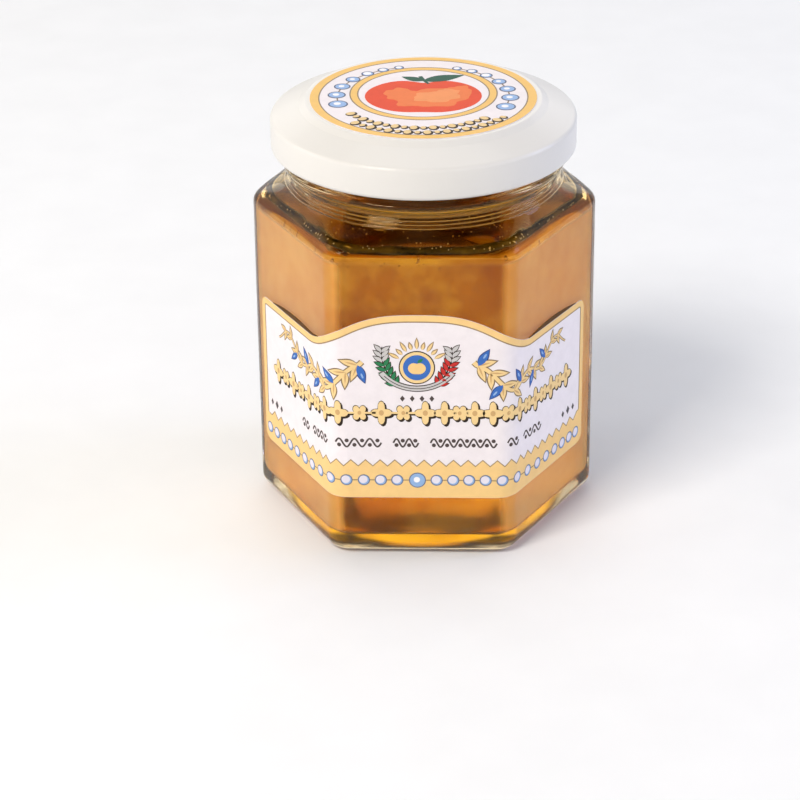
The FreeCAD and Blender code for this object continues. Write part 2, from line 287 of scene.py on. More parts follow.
def floor_material():
    made = Nodes("floor")
    made.set(Roughness=0.7)
    made.mottle(made.noise(60, 2), (0.86, 0.86, 0.86), (0.88, 0.88, 0.88))
    return made.material


# Base colour and tint of the reflections of each kind of glass. What jelly wets has no reflection of its own.
# The amber on the heel, shoulder, neck and inner glass is painted glow and shade of the light through the
# jelly, and the gold tint on the neck's reflections is a painted reflection colour.
GLASSES = {
    "glass": ((0.97, 0.985, 0.975, 1), (0.5, 0.5, 0.5, 1)),
    "wet_glass": ((0.97, 0.985, 0.975, 1), (0, 0, 0, 1)),
    "inner_glass_painted_amber": ((0.97, 0.985, 0.975, 1), (0.36, 0.24, 0.09, 1)),
    "heel_glass_painted_glow": ((0.95, 0.80, 0.56, 1), (1, 1, 1, 1)),
    "shoulder_glass_painted_shade": ((0.70, 0.49, 0.20, 1), (0.16, 0.14, 0.11, 1)),
    "neck_glass_painted_glow": ((0.86, 0.68, 0.40, 1), (0.75, 0.58, 0.36, 1)),
}
AMBER_LOW, AMBER_HIGH, AMBER_SWAY = 1.9, 2.7, 1.2


def glass_material(kind):
    made = Nodes(kind)
    colour, tint = GLASSES[kind]
    made.set(Base_Color=colour, Specular_Tint=tint, Roughness=0.0, IOR=1.5, Transmission_Weight=1.0)
    if kind == "inner_glass_painted_amber":
        made.paint(painted_amber_colour(made))
    made.bump(made.noise(55, 2), 0.06, 0.002)
    return made.material


def painted_amber_colour(made):
    """Painted amber and shade on the inside of the glass over the jelly: pale and even low down, patchy and
    deeper amber above, standing in for the light and shade seen through the shoulder.
    """
    patches = made.ramp(made.noise(70, 4, 0.6), (0.3, (0.56, 0.29, 0.035)), (0.7, (0.84, 0.54, 0.12)))
    sway = made.between(made.noise(160, 3), 0, 1, -AMBER_SWAY * MM, AMBER_SWAY * MM)
    height = made.math("ADD", made.axes()["Z"], sway)
    rise = made.between(height, (JELLY_TOP + AMBER_LOW) * MM, (JELLY_TOP + AMBER_HIGH) * MM)
    return made.mix(rise, (0.80, 0.66, 0.34, 1), patches)


def jelly_material():
    """Amber jelly, painted lighter and given a faint painted glow along the two side panels in front, and
    clear at the floor and the surface.
    """
    made = Nodes("jelly")
    # The emission colour is a painted amber glow, used only along the two side panels in front.
    made.set(Roughness=0.12, IOR=1.4, Specular_Tint=(0, 0, 0, 1), Emission_Color=(1.0, 0.36, 0.05, 1))
    across = made.axes()
    # Painted light: the two side panels in front are less clear, lighter in colour and glow faintly.
    beside = made.between(made.math("ABSOLUTE", across["X"]), 15.2 * MM, 16.6 * MM)
    ahead = made.between(across["Y"], 4 * MM, -2 * MM)
    painted_flank_glow = made.math("MULTIPLY", beside, ahead)
    under = made.between(across["Z"], (FLOOR + 1.2) * MM, (FLOOR + 0.4) * MM)
    over = made.between(across["Z"], (JELLY_TOP - 1.6) * MM, (JELLY_TOP - 0.7) * MM)
    ends = made.math("ADD", under, over)
    clear = made.between(painted_flank_glow, 0, 1, 0.88, 0.22)
    made.link(made.between(ends, 0, 1, clear, 1.0), made.shader.inputs["Transmission Weight"])
    made.link(made.between(painted_flank_glow, 0, 1, 0, 0.10), made.shader.inputs["Emission Strength"])
    cloud = made.noise(62, 4, 0.6)
    front = made.ramp(cloud, (0.40, srgb(184, 117, 33)), (0.60, srgb(244, 202, 100)))
    flank = made.ramp(cloud, (0.34, srgb(238, 163, 72)), (0.66, srgb(252, 196, 106)))
    made.paint(made.mix(ends, made.mix(painted_flank_glow, front, flank), (0.93, 0.70, 0.34, 1)))
    volume = made.node("VolumeAbsorption", Color=(0.963, 0.842, 0.12, 1), Density=80.0)
    made.link(volume.outputs["Volume"], made.output.inputs["Volume"])
    return made.material


def shaded_roll_material():
    """Jelly at the glass, painted near-black as shade, with gold-tinted painted glints on its wet face."""
    made = Nodes("jelly_roll_painted_shade")
    # Near-black body: painted shade of the band where the jelly meets the glass. The gold reflection tint is
    # a painted glint colour.
    made.set(Roughness=0.06, IOR=1.5, Specular_Tint=(0.95, 0.70, 0.22, 1))
    tone = made.noise(150, 4, 0.6)
    made.paint(made.ramp(tone, (0.38, (0.022, 0.012, 0.001)), (0.7, (0.20, 0.12, 0.012))))
    made.bump(made.noise(260, 3), 0.5, 0.0006)
    return made.material


def bubble_material():
    """Air in the jelly, whose index is about one over the jelly's."""
    made = Nodes("bubble")
    made.set(Roughness=0.02, IOR=0.72, Transmission_Weight=1.0)
    made.mottle(made.noise(300, 2), (0.98, 0.93, 0.8), (1, 0.98, 0.92))
    return made.material


def froth_and_glint_material():
    # Pale gold dots, partly froth and partly painted glints on the dark band.
    made = Nodes("froth_and_glints")
    made.set(Roughness=0.25)
    made.mottle(made.noise(400, 2), (0.95, 0.72, 0.36), (1.0, 0.9, 0.62))
    return made.material


def lid_material():
    made = Nodes("lid_white")
    made.set(Coat_Weight=0.2, Coat_Roughness=0.08, Specular_IOR_Level=0.22)
    made.mottle(made.noise(25, 3), (0.665, 0.64, 0.605), (0.695, 0.67, 0.635))
    made.link(made.between(made.noise(90, 3), 0, 1, 0.3, 0.42), made.shader.inputs["Roughness"])
    made.bump(made.noise(900, 2), 0.05, 0.0004)
    return made.material


def seal_material():
    made = Nodes("sealing_compound")
    made.set(Roughness=0.5)
    made.mottle(made.noise(120, 3), (0.74, 0.73, 0.70), (0.80, 0.79, 0.76))
    return made.material


def paper_material():
    made = Nodes("label_paper")
    made.set(Roughness=0.6, Specular_IOR_Level=0.2)
    fibre = made.noise(500, 4, 0.6)
    made.mottle(fibre, srgb(227, 219, 221), srgb(233, 225, 227))
    made.bump(fibre, 0.08, 0.0002)
    return made.material


INK_STRENGTH = 0.87


def ink_material(name, colour):
    """Print on coated paper, a little uneven in tone."""
    made = Nodes("ink_" + name)
    made.set(Roughness=0.6, Specular_IOR_Level=0.2)
    linear = [channel * INK_STRENGTH for channel in srgb(*colour)]
    tone = made.noise(420, 4, 0.6)
    made.mottle(tone, [c * 0.96 for c in linear], [min(1, c * 1.03) for c in linear])
    made.bump(tone, 0.06, 0.0002)
    return made.material


# ---------------------------------------------------------------- mesh helpers


def new_object(name, vertices, faces, material, smooth=True):
    """A mesh object from points in millimetres."""
    mesh = bpy.data.meshes.new(name)
    mesh.from_pydata([tuple(v) for v in np.asarray(vertices) * MM], [], [tuple(f) for f in faces])
    mesh.materials.append(material)
    mesh.validate()
    if smooth:
        mesh.shade_smooth()
    made = bpy.data.objects.new(name, mesh)
    bpy.context.scene.collection.objects.link(made)
    return made


def skin(rings):
    """Vertices and faces of a tube through rings of equally many points, closed by a fan at each end."""
    count = len(rings[0])
    vertices = np.vstack([*rings, rings[0].mean(axis=0), rings[-1].mean(axis=0)])
    last = (len(rings) - 1) * count
    first_middle, last_middle = last + count, last + count + 1
    faces = []
    for base in range(0, last, count):
        for n in range(count):
            following = (n + 1) % count
            faces.append((base + n, base + following, base + count + following, base + count + n))
    for n in range(count):
        following = (n + 1) % count
        faces.append((following, n, first_middle))
        faces.append((last + n, last + following, last_middle))
    return vertices, faces


def outward(turn):
    """Unit vector from the front panel's middle round, anticlockwise seen from above."""
    return np.array([math.sin(turn), -math.cos(turn)])


def eased(steps):
    """Shares from 0 up to but not including 1, closer together near both ends."""
    return [(1 - math.cos(math.pi * n / steps)) / 2 for n in range(steps)]


def ring(half, corner, height, roundness=0.0):
    """One level of the body: a hexagon with corner arcs, blended towards a circle of its half width."""
    points = []
    corner = min(corner, half)
    reach = (half - corner) / math.cos(HALF_SIDE)
    for side in range(SIDES):
        middle = 2 * HALF_SIDE * side
        last, following = outward(middle - HALF_SIDE) * reach, outward(middle + HALF_SIDE) * reach
        offset = outward(middle) * corner
        for share in eased(FLAT_STEPS):
            flat = last + (following - last) * share + offset
            circle = outward(middle + HALF_SIDE * (share - 0.5)) * half
            points.append(flat * (1 - roundness) + circle * roundness)
        for n in range(ARC_STEPS):
            share = n / ARC_STEPS
            arc = following + outward(middle + 2 * HALF_SIDE * share) * corner
            circle = outward(middle + HALF_SIDE * (0.5 + share)) * half
            points.append(arc * (1 - roundness) + circle * roundness)
    return np.column_stack([np.array(points), np.full(len(points), height)])


def hermite(start, end, start_slope, end_slope, share):
    """Cubic curve between two values with given slopes."""
    s2, s3 = share ** 2, share ** 3
    return (
        (2 * s3 - 3 * s2 + 1) * start
        + (s3 - 2 * s2 + share) * start_slope
        + (3 * s2 - 2 * s3) * end
        + (s3 - s2) * end_slope
    )


SMALLEST_CORNER = 0.6


def edge_rings(half, corner, bottom, rounding, steps):
    """Rings of a rounded lower edge, from the flat bottom out and up to the panels."""
    rings = []
    for n in range(steps + 1):
        turn = math.pi / 2 * n / steps
        inward, up = rounding * (1 - math.sin(turn)), rounding * (1 - math.cos(turn))
        rings.append((half - inward, max(corner - inward, SMALLEST_CORNER), bottom + up, 0.0))
    return rings


def shoulder_rings(half, corner, foot, rounding, neck, steps):
    """Rings over the shoulder's rounding and on to the round neck."""
    rings = []
    for n in range(ROUNDING_STEPS + 1):
        turn = SHOULDER_TURN * n / ROUNDING_STEPS
        inward = rounding * (1 - math.cos(turn))
        rings.append((half - inward, corner + inward, foot + rounding * math.sin(turn), 0.0))
    last_half, last_corner, last_height, _ = rings[-1]
    run, rise = last_half - neck, NECK_FOOT - last_height
    for n in range(1, steps + 1):
        share = n / steps
        height = hermite(last_height, NECK_FOOT, rise, rise, share)
        inward = hermite(0, 1, 1.0, 0.6, share)
        corner = last_corner + (neck - last_corner) * inward
        rings.append((last_half - run * inward, corner, height, share ** 2 * (3 - 2 * share)))
    return rings


def wall_rings(half, corner, low, high, steps):
    """Rings up the straight panels, between their two ends."""
    return [(half, corner, low + (high - low) * n / steps, 0.0) for n in range(1, steps)]


def neck_heights(bottom, top, step):
    """Even heights up the neck, from just over the bottom to the top."""
    count = round((top - bottom) / step)
    return [bottom + (top - bottom) * n / count for n in range(1, count + 1)]


def wavy(points, amount, size, seed):
    """Points moved in and out of the surface by smooth noise, as glass that was blown in a mould is."""
    moved = points.copy()
    for n, (x, y, z) in enumerate(points):
        radius = math.hypot(x, y)
        if radius > 1:
            push = amount * noise.noise(Vector((x / size + seed, y / size, z / (size * 1.6))))
            moved[n, :2] *= 1 + push / radius
    return moved


RIDGES, RIDGE_PITCH, RIDGE_REACH = 3, 0.66, 0.2


def ridged(points):
    """Points with the fine rings that run round the foot of the neck."""
    below = (NECK_FOOT - points[0, 2]) / RIDGE_PITCH
    if not 0 < below < RIDGES:
        return points
    moved = points.copy()
    reach = RIDGE_REACH * math.sin(math.pi * (below % 1)) ** 2
    moved[:, :2] *= 1 + reach / np.hypot(points[:, 0], points[:, 1])[:, None]
    return moved


BEAD_HEIGHT, BEAD_RADIUS, BEAD_DEPTH = NECK_FOOT + 2.3, 1.1, 1.5
THREADS, THREAD_PITCH, THREAD_DROP = 4, 1.6, 4.6
THREAD_DEPTH, THREAD_HALF, THREAD_FADE = 1.0, 0.55, 0.15


def neck_radius(height, turn):
    """The neck's outside at a height and an angle, with its transfer bead and its threads."""
    radius = NECK
    off = abs(height - BEAD_HEIGHT)
    if off < BEAD_RADIUS:
        radius = max(radius, NECK + BEAD_DEPTH - BEAD_RADIUS + math.sqrt(BEAD_RADIUS ** 2 - off ** 2))
    pitch = 2 * math.pi / THREADS
    along = (turn % pitch) / pitch
    centre = RIM - THREAD_DROP + THREAD_PITCH * along
    fade = min(1, along / THREAD_FADE, (1 - along) / THREAD_FADE)
    rise = math.exp(-((height - centre) / THREAD_HALF) ** 2)
    return radius + THREAD_DEPTH * fade * rise


# ---------------------------------------------------------------- glass and jelly


PUNT_SHARES, BEARING_SHARES = (0.12, 0.3, 0.5, 0.7, 0.86, 1.0), (0.25, 0.5, 0.75)
FLOOR_SHARES = (0.15, 0.35, 0.55, 0.75)
SHOULDER_TINT_RISE = 0.8


def inner_rings(grow):
    """Rings of the glass's inside, from the middle of the floor up to the neck, grown into the glass."""
    half = HALF_FLATS - WALL + grow
    corner = INNER_CORNER + grow
    bottom = FLOOR - grow
    foot = SIDE_TOP - WALL / 2
    rings = [(half * share, corner * share, bottom, 1 - share) for share in FLOOR_SHARES]
    rings += edge_rings(half, corner, bottom, FLOOR_ROUNDING, INNER_HEEL_STEPS)
    rings += wall_rings(half, corner, bottom + FLOOR_ROUNDING, foot, INNER_WALL_STEPS)
    rings += shoulder_rings(half, corner, foot, SHOULDER - WALL / 2, BORE + grow, INNER_SHOULDER_STEPS)
    return rings


def inner_surface(grow):
    """Points of the inside up to the rim, with the waviness of the glass."""
    levels = [ring(*level) for level in inner_rings(grow)]
    for height in neck_heights(NECK_FOOT, RIM - RIM_ROUNDING, INNER_NECK_STEP):
        levels.append(ring(BORE + grow, BORE + grow, height, 1.0))
    return [wavy(level, *INNER_WAVES) for level in levels]


def base_surface():
    """Points of the underside, from the middle of the punt to the edge that the jar stands on."""
    levels = []
    for share in PUNT_SHARES:
        radius = PUNT_RADIUS * share
        levels.append(ring(radius, radius, PUNT_DEPTH * (1 - share ** 2), 1.0))
    for share in BEARING_SHARES:
        width = PUNT_RADIUS + (HALF_FLATS - HEEL - PUNT_RADIUS) * share
        levels.append(ring(width, CORNER - HEEL + (width - CORNER) * (1 - share), 0.0, 1 - share))
    return levels


def body_surface():
    """Points of the panels and the shoulder, outside."""
    rings = edge_rings(HALF_FLATS, CORNER, 0, HEEL, HEEL_STEPS)
    rings += wall_rings(HALF_FLATS, CORNER, HEEL, SIDE_TOP, WALL_STEPS)
    rings += shoulder_rings(HALF_FLATS, CORNER, SIDE_TOP, SHOULDER, NECK, SHOULDER_STEPS)
    return [ridged(wavy(ring(*level), *OUTER_WAVES)) for level in rings]


def neck_surface(turns):
    """Points of the neck's outside, whose bead and threads are worked out at the given angles."""
    levels = []
    for height in neck_heights(NECK_FOOT, RIM - RIM_ROUNDING, NECK_STEP):
        level = ring(NECK, NECK, height, 1.0)
        level[:, :2] *= np.array([neck_radius(height, turn) / NECK for turn in turns])[:, None]
        levels.append(level)
    return levels


def rim_surface():
    """Points over the rounded rim, from its outside to its inside."""
    turns = [math.pi / 2 * n / RIM_STEPS for n in range(RIM_STEPS + 1)]
    reaches = [(RIM_ROUNDING * (1 - math.cos(turn)), RIM_ROUNDING * (1 - math.sin(turn))) for turn in turns]
    places = [(NECK - inward, RIM - down) for inward, down in reaches[1:]]
    places += [(BORE + further, RIM - down) for down, further in reaches[:-1]]
    return [ring(radius, radius, height, 1.0) for radius, height in places]


def glass_kind(height, inside):
    """Which glass material a face at a height in millimetres gets; some carry painted amber glow or shade."""
    if inside:
        return "wet_glass" if height < JELLY_TOP else "inner_glass_painted_amber"
    if height < HEEL:
        return "heel_glass_painted_glow"
    if height > NECK_FOOT - RIDGES * RIDGE_PITCH:
        return "neck_glass_painted_glow"
    return "shoulder_glass_painted_shade" if height > SIDE_TOP + SHOULDER_TINT_RISE else "glass"


def make_glass():
    outer = base_surface() + body_surface()
    turns = np.arctan2(outer[-1][:, 0], -outer[-1][:, 1])
    outer += neck_surface(turns) + rim_surface()
    vertices, faces = skin(outer + inner_surface(0.0)[::-1])
    kinds = list(GLASSES)
    glass = new_object("jar_glass", vertices, faces, glass_material(kinds[0]))
    for kind in kinds[1:]:
        glass.data.materials.append(glass_material(kind))
    first_inside = len(outer) * RING
    for face in glass.data.polygons:
        kind = glass_kind(face.center.z / MM, min(face.vertices) >= first_inside)
        face.material_index = kinds.index(kind)
    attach(glass, "root")
    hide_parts("jar")


JELLY_OVERLAP = 0.08

# Share of the width and rise of each ring of the jelly's surface, from the glass to near its middle.
JELLY_SURFACE = (
    (0.985, 0.3), (0.968, 0.25), (0.95, -0.25), (0.925, -0.8), (0.85, -1.05), (0.6, -1.1), (0.25, -1.1),
)


def make_jelly():
    """The jelly, with a raised uneven rim where it clings to the glass."""
    levels = [level for level in inner_surface(JELLY_OVERLAP) if level[0, 2] <= JELLY_TOP]
    top = []
    for share, rise in JELLY_SURFACE:
        inset = levels[-1].copy()
        inset[:, :2] *= share
        inset[:, 2] += rise
        swell = 0.4 * (1 - share + 0.3)
        inset[:, 2] += [swell * noise.noise(Vector((x, y, 4.0)) / 7) for x, y, _ in inset]
        top.append(inset)
    vertices, faces = skin(levels + top)
    jelly = new_object("jelly_fill", vertices, faces, jelly_material())
    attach(jelly, "root")
    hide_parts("jelly")


ROLL_SIZE, ROLL_RISE, ROLL_STEPS = 0.85, 0.9, 12


def make_roll():
    """The uneven roll of jelly that clings to the glass all round the surface, painted dark to stand for
    shade.
    """
    line = min(inner_surface(0.0), key=lambda level: abs(level[0, 2] - JELLY_TOP - ROLL_RISE))
    vertices, faces = [], []
    for n, (x, y, z) in enumerate(line):
        radius = math.hypot(x, y)
        size = ROLL_SIZE * (1 + 0.35 * noise.noise(Vector((x, y, 2.0)) / 5))
        height = z + 0.45 * noise.noise(Vector((x, y, 8.0)) / 8)
        here, there = n * ROLL_STEPS, (n + 1) % len(line) * ROLL_STEPS
        for side in range(ROLL_STEPS):
            turn = 2 * math.pi * side / ROLL_STEPS
            share = (radius - 0.6 * ROLL_SIZE + size * math.cos(turn)) / radius
            vertices.append((x * share, y * share, height + size * math.sin(turn)))
            following = (side + 1) % ROLL_STEPS
            faces.append((here + side, there + side, there + following, here + following))
    roll = new_object("jelly_roll_painted_shade", vertices, faces, shaded_roll_material())
    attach(roll, "root")


def wall_place(turn, height, depth):
    """A point inside the jelly at an angle round the jar and a depth behind the glass."""
    half = HALF_FLATS - WALL - depth
    off = (turn + HALF_SIDE) % (2 * HALF_SIDE) - HALF_SIDE
    reach = min(half / math.cos(off), (half + INNER_CORNER * 0.12) / math.cos(HALF_SIDE) - 0.6)
    x, y = outward(turn) * reach
    return Vector((x, y, height))


def scatter_at_wall(chance, count, turn, heights, depths, radii):
    """Small balls behind the glass, up to an angle to both sides of the front."""
    spots = []
    for _ in range(count):
        place = wall_place(chance.uniform(-turn, turn), chance.uniform(*heights), chance.uniform(*depths))
        spots.append((place, chance.uniform(*radii)))
    return spots


def make_bubbles():
    """Small bubbles behind the glass and just under the surface, and pale dots on it and along its edge,
    partly froth and partly painted glints.
    """
    chance = random.Random(7)
    spots = scatter_at_wall(chance, 150, 1.6, (8, 62), (0.5, 5), (0.08, 0.2))
    under = (JELLY_TOP - 0.9, JELLY_TOP - 2.4)
    spots += scatter_at_wall(chance, 90, math.pi, under, (0.5, 2.5), (0.1, 0.26))
    for _ in range(60):
        reach, turn = 25 * math.sqrt(chance.random()), chance.uniform(-math.pi, math.pi)
        place = Vector((*outward(turn) * reach, JELLY_TOP - chance.uniform(1.6, 2.4)))
        spots.append((place, chance.uniform(0.1, 0.28)))
    beads("bubbles", spots, bubble_material())
    froth_and_glints = []
    for _ in range(170):
        reach, turn = 25.5 * chance.random() ** 0.35, chance.uniform(-math.pi, math.pi)
        froth_and_glints.append((Vector((*outward(turn) * reach, JELLY_TOP - 0.98)), chance.uniform(0.08, 0.2)))
    # The dots along the glass over the surface are painted glints.
    over = (JELLY_TOP + 1.0, JELLY_TOP + 2.0)
    froth_and_glints += scatter_at_wall(chance, 150, math.pi, over, (0.3, 1.0), (0.08, 0.2))
    beads("froth_and_glints", froth_and_glints, froth_and_glint_material())


def beads(name, spots, material):
    """Small balls, as one mesh."""
    balls = bmesh.new()
    for spot, radius in spots:
        place = Matrix.Translation(spot * MM)
        bmesh.ops.create_icosphere(balls, subdivisions=2, radius=radius * MM, matrix=place)
    mesh = bpy.data.meshes.new(name)
    balls.to_mesh(mesh)
    balls.free()
    mesh.shade_smooth()
    mesh.materials.append(material)
    made = bpy.data.objects.new(name, mesh)
    bpy.context.scene.collection.objects.link(made)
    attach(made, "root")


# ---------------------------------------------------------------- lid


def lathe(profile, steps, material, name):
    """A solid of revolution from a closed outline of radius and height pairs."""
    turns = [2 * math.pi * n / steps for n in range(steps)]
    count = len(profile)
    vertices = [(r * math.sin(t), -r * math.cos(t), z) for t in turns for r, z in profile]
    faces = []
    for n in range(steps):
        base, following = n * count, (n + 1) % steps * count
        for k in range(count):
            step = (k + 1) % count
            faces.append((base + k, following + k, following + step, base + step))
    return new_object(name, vertices, faces, material)


FILLET_STEPS = 6


def fillet(before, corner, after, radius):
    """Points of a rounding of a given radius at a corner of an outline."""
    before, corner, after = (np.array(point, float) for point in (before, corner, after))
    to_before = (before - corner) / np.linalg.norm(before - corner)
    to_after = (after - corner) / np.linalg.norm(after - corner)
    half_angle = math.acos(np.clip(np.dot(to_before, to_after), -1, 1)) / 2
    reach = radius / math.tan(half_angle)
    middle = to_before + to_after
    centre = corner + middle / np.linalg.norm(middle) * radius / math.sin(half_angle)
    start, end = corner + to_before * reach - centre, corner + to_after * reach - centre
    turn = math.atan2(start[0] * end[1] - start[1] * end[0], np.dot(start, end))
    points = []
    for n in range(FILLET_STEPS + 1):
        angle = turn * n / FILLET_STEPS
        spin = np.array([[math.cos(angle), -math.sin(angle)], [math.sin(angle), math.cos(angle)]])
        points.append(tuple(centre + spin @ start))
    return points


LID_TOP = LID_HIGH.z
PANEL = 23.6
STEP_FOOT = 24.9
STEP_DROP = 0.9
CROWN_SLOPE = math.radians(22)
CROWN_FOOT = LID_TOP - STEP_DROP - (SKIRT - STEP_FOOT) * math.tan(CROWN_SLOPE)
CURL, CURL_TURN, CURL_STEPS = 0.9, -math.pi * 1.55, 19
SHEET = 0.25


def lid_outline(inset):
    """The lid's line from its middle to the top of its rolled edge, set in by the sheet's thickness."""
    top = LID_TOP - inset
    skirt = SKIRT - inset
    corners = [
        (0.05, top),
        (PANEL, top),
        (STEP_FOOT - inset * 0.2, top - STEP_DROP),
        (skirt, CROWN_FOOT - inset * 0.8),
        (skirt, LID_LOW.z + CURL),
    ]
    points = [corners[0], (PANEL * 0.5, top), (PANEL * 0.85, top)]
    for n, radius in ((1, 0.7), (2, 0.9), (3, 1.1 - inset)):
        points += fillet(corners[n - 1], corners[n], corners[n + 1], radius)
    points.append(corners[-1])
    return points


def curl_arc(radius):
    """The rolled edge's line from the skirt round under it and back up inside."""
    points = []
    for n in range(1, CURL_STEPS + 1):
        turn = CURL_TURN * n / CURL_STEPS
        x, z = SKIRT - CURL + radius * math.cos(turn), LID_LOW.z + CURL + radius * math.sin(turn)
        points.append((x, z))
    return points


def make_lid():
    outside = lid_outline(0.0) + curl_arc(CURL)
    inside = lid_outline(SHEET) + curl_arc(CURL - SHEET)
    lid = lathe(outside + inside[::-1], 256, lid_material(), "lid_sheet")
    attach(lid, "root")
    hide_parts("lid")


def make_seal():
    low, high = corners_mm("lid_seal")
    outer, inner = high.x, STEP_FOOT
    profile = [(inner, low.z + 0.2), (inner + 0.3, low.z), (outer - 0.3, low.z), (outer, low.z + 0.3),
               (outer, high.z - 1.3), (inner, high.z - 0.1)]
    seal = lathe(profile, 128, seal_material(), "seal_ring")
    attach(seal, "root")
    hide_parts("lid_seal")


# ---------------------------------------------------------------- printing

PAPER = 0.12
INK_FOOT = PAPER / 2
FLAT_HALF = (HALF_FLATS - CORNER) * math.tan(HALF_SIDE)
BEND = CORNER * 2 * HALF_SIDE
BEND_CUTS = 12
LABEL_HALF = 3 * FLAT_HALF + 1.5 * BEND - 5.0
LABEL_SHIFT = -0.6
LABEL_LEFT, LABEL_RIGHT = LABEL_SHIFT - LABEL_HALF, LABEL_SHIFT + LABEL_HALF
LABEL_CORNER = 2.0
CREST_HALF, CREST_FULLNESS, END_TOP = 26.0, 1.5, 45.9
CREST_STEPS = 90
DROOP, DROOP_START, DROOP_END = 1.0, 13, 30

# Shapes of one ink that overlap mostly don't share a plane: each lies a small step higher than the
# last, and after so many the steps start again.
LEVELS, LEVEL_STEP = 8, 0.0008
SMALLEST_AREA = 1e-7


def on_glass(along, height, lift):
    """Point at a distance along the outside of the glass from the front panel's middle."""
    far = abs(along)
    turn = min(max(far - FLAT_HALF, 0), BEND) / CORNER
    beyond = max(far - FLAT_HALF - BEND, 0)
    reach = CORNER + lift
    x = min(far, FLAT_HALF) + reach * math.sin(turn) + beyond * math.cos(turn)
    y = CORNER - HALF_FLATS - reach * math.cos(turn) + beyond * math.sin(turn)
    return math.copysign(x, along), y, height


def on_lid(x, y, lift):
    """Point over the lid's panel."""
    return x, y, DISC_HIGH.z - PAPER + lift


def placed(points, x, y, turn):
    """Points turned by an angle in degrees and moved to a place."""
    cosine, sine = math.cos(math.radians(turn)), math.sin(math.radians(turn))
    return [(x + u * cosine - v * sine, y + u * sine + v * cosine) for u, v in points]


def arc(x, y, radius, start, end, steps=8):
    """Points of an arc between two angles in degrees."""
    turns = [math.radians(start + (end - start) * n / steps) for n in range(steps + 1)]
    return [(x + radius * math.cos(turn), y + radius * math.sin(turn)) for turn in turns]


class Print:
    """Flat shapes of one colour, drawn in millimetres on the flat sheet. Angles are in degrees."""

    def __init__(self):
        self.points = []
        self.faces = []
        self.level = 0

    def polygon(self, outline, *holes):
        loops = [[Vector((x, y, 0)) for x, y in loop] for loop in (outline, *holes)]
        flat = [point for loop in loops for point in loop]
        start = len(self.points)
        for a, b, c in tessellate_polygon(loops):
            area = (flat[b] - flat[a]).cross(flat[c] - flat[a]).z
            if abs(area) > SMALLEST_AREA:
                corners = (a, b, c) if area > 0 else (a, c, b)
                self.faces.append(tuple(start + n for n in corners))
        self.points += [(point.x, point.y, self.level * LEVEL_STEP) for point in flat]
        self.level = (self.level + 1) % LEVELS

    def ellipse(self, x, y, wide, high=None, turn=0.0, steps=20):
        high = high or wide
        turns = [2 * math.pi * n / steps for n in range(steps)]
        self.polygon(placed([(wide * math.cos(t), high * math.sin(t)) for t in turns], x, y, turn))

    def leaf(self, x, y, length, width, turn, steps=9):
        """A pointed leaf that starts at a point and turns away by an angle."""
        shares = [n / steps for n in range(steps + 1)]
        side = [(length * share, width / 2 * math.sin(math.pi * share ** 0.8)) for share in shares]
        self.polygon(placed(side + [(u, -v) for u, v in side[-2:0:-1]], x, y, turn))

    def line(self, points, width, end_width=None, closed=False):
        """A line of a width that may run to another width at its end."""
        points = [Vector(point) for point in points]
        end_width = width if end_width is None else end_width
        count = len(points)
        sides = []
        for n, point in enumerate(points):
            before = points[n - 1] if closed or n else point
            after = points[(n + 1) % count] if closed or n < count - 1 else point
            run = (after - before).normalized()
            half = (width + (end_width - width) * n / (count - 1)) / 2
            across = Vector((-run.y, run.x)) * half
            sides.append((point + across, point - across))
        for n in range(count if closed else count - 1):
            (left, right), (next_left, next_right) = sides[n], sides[(n + 1) % count]
            self.polygon([right, next_right, next_left, left])

    def lay(self, name, place, lift, colour, cuts=()):
        """Makes the shapes one closed mesh on the paper, or with a negative lift on the glass."""
        sheet = bmesh.new()
        corners = [sheet.verts.new(point) for point in self.points]
        for face in self.faces:
            sheet.faces.new([corners[n] for n in face])
        for cut in cuts:
            everything = sheet.verts[:] + sheet.edges[:] + sheet.faces[:]
            bmesh.ops.bisect_plane(
                sheet, geom=everything, dist=1e-5, plane_co=(cut, 0, 0), plane_no=(1, 0, 0)
            )
        sheet.verts.index_update()
        flat = [tuple(vertex.co) for vertex in sheet.verts]
        fronts = [[vertex.index for vertex in face.verts] for face in sheet.faces]
        open_loops = [edge.link_loops[0] for edge in sheet.edges if len(edge.link_loops) == 1]
        open_edges = [(loop.vert.index, loop.link_loop_next.vert.index) for loop in open_loops]
        sheet.free()
        count = len(flat)
        foot = INK_FOOT if lift > 0 else 0.0
        vertices = [place(x, y, PAPER + lift + level) for x, y, level in flat]
        vertices += [place(x, y, foot) for x, y, _ in flat]
        faces = fronts + [[count + n for n in reversed(face)] for face in fronts]
        faces += [(a, count + a, count + b, b) for a, b in open_edges]
        made = new_object(name, vertices, faces, ink_material(name, colour), smooth=False)
        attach(made, "root")


# ---------------------------------------------------------------- the label's border


def bend_cuts():
    """Distances along the glass at which flat print is cut so that it can follow the two bends."""
    cuts = [FLAT_HALF + BEND * n / BEND_CUTS for n in range(BEND_CUTS + 1)]
    return [-cut for cut in cuts] + cuts


def droop(along):
    """The rows of print sink a little on the two side panels."""
    share = (abs(along - LABEL_SHIFT) - DROOP_START) / (DROOP_END - DROOP_START)
    share = min(1, max(0, share))
    return -DROOP * share * share * (3 - 2 * share)


def label_top(along):
    share = min(1, abs(along - LABEL_SHIFT) / CREST_HALF) ** CREST_FULLNESS
    return END_TOP + (LABEL_HIGH.z - END_TOP) * (1 + math.cos(math.pi * share)) / 2


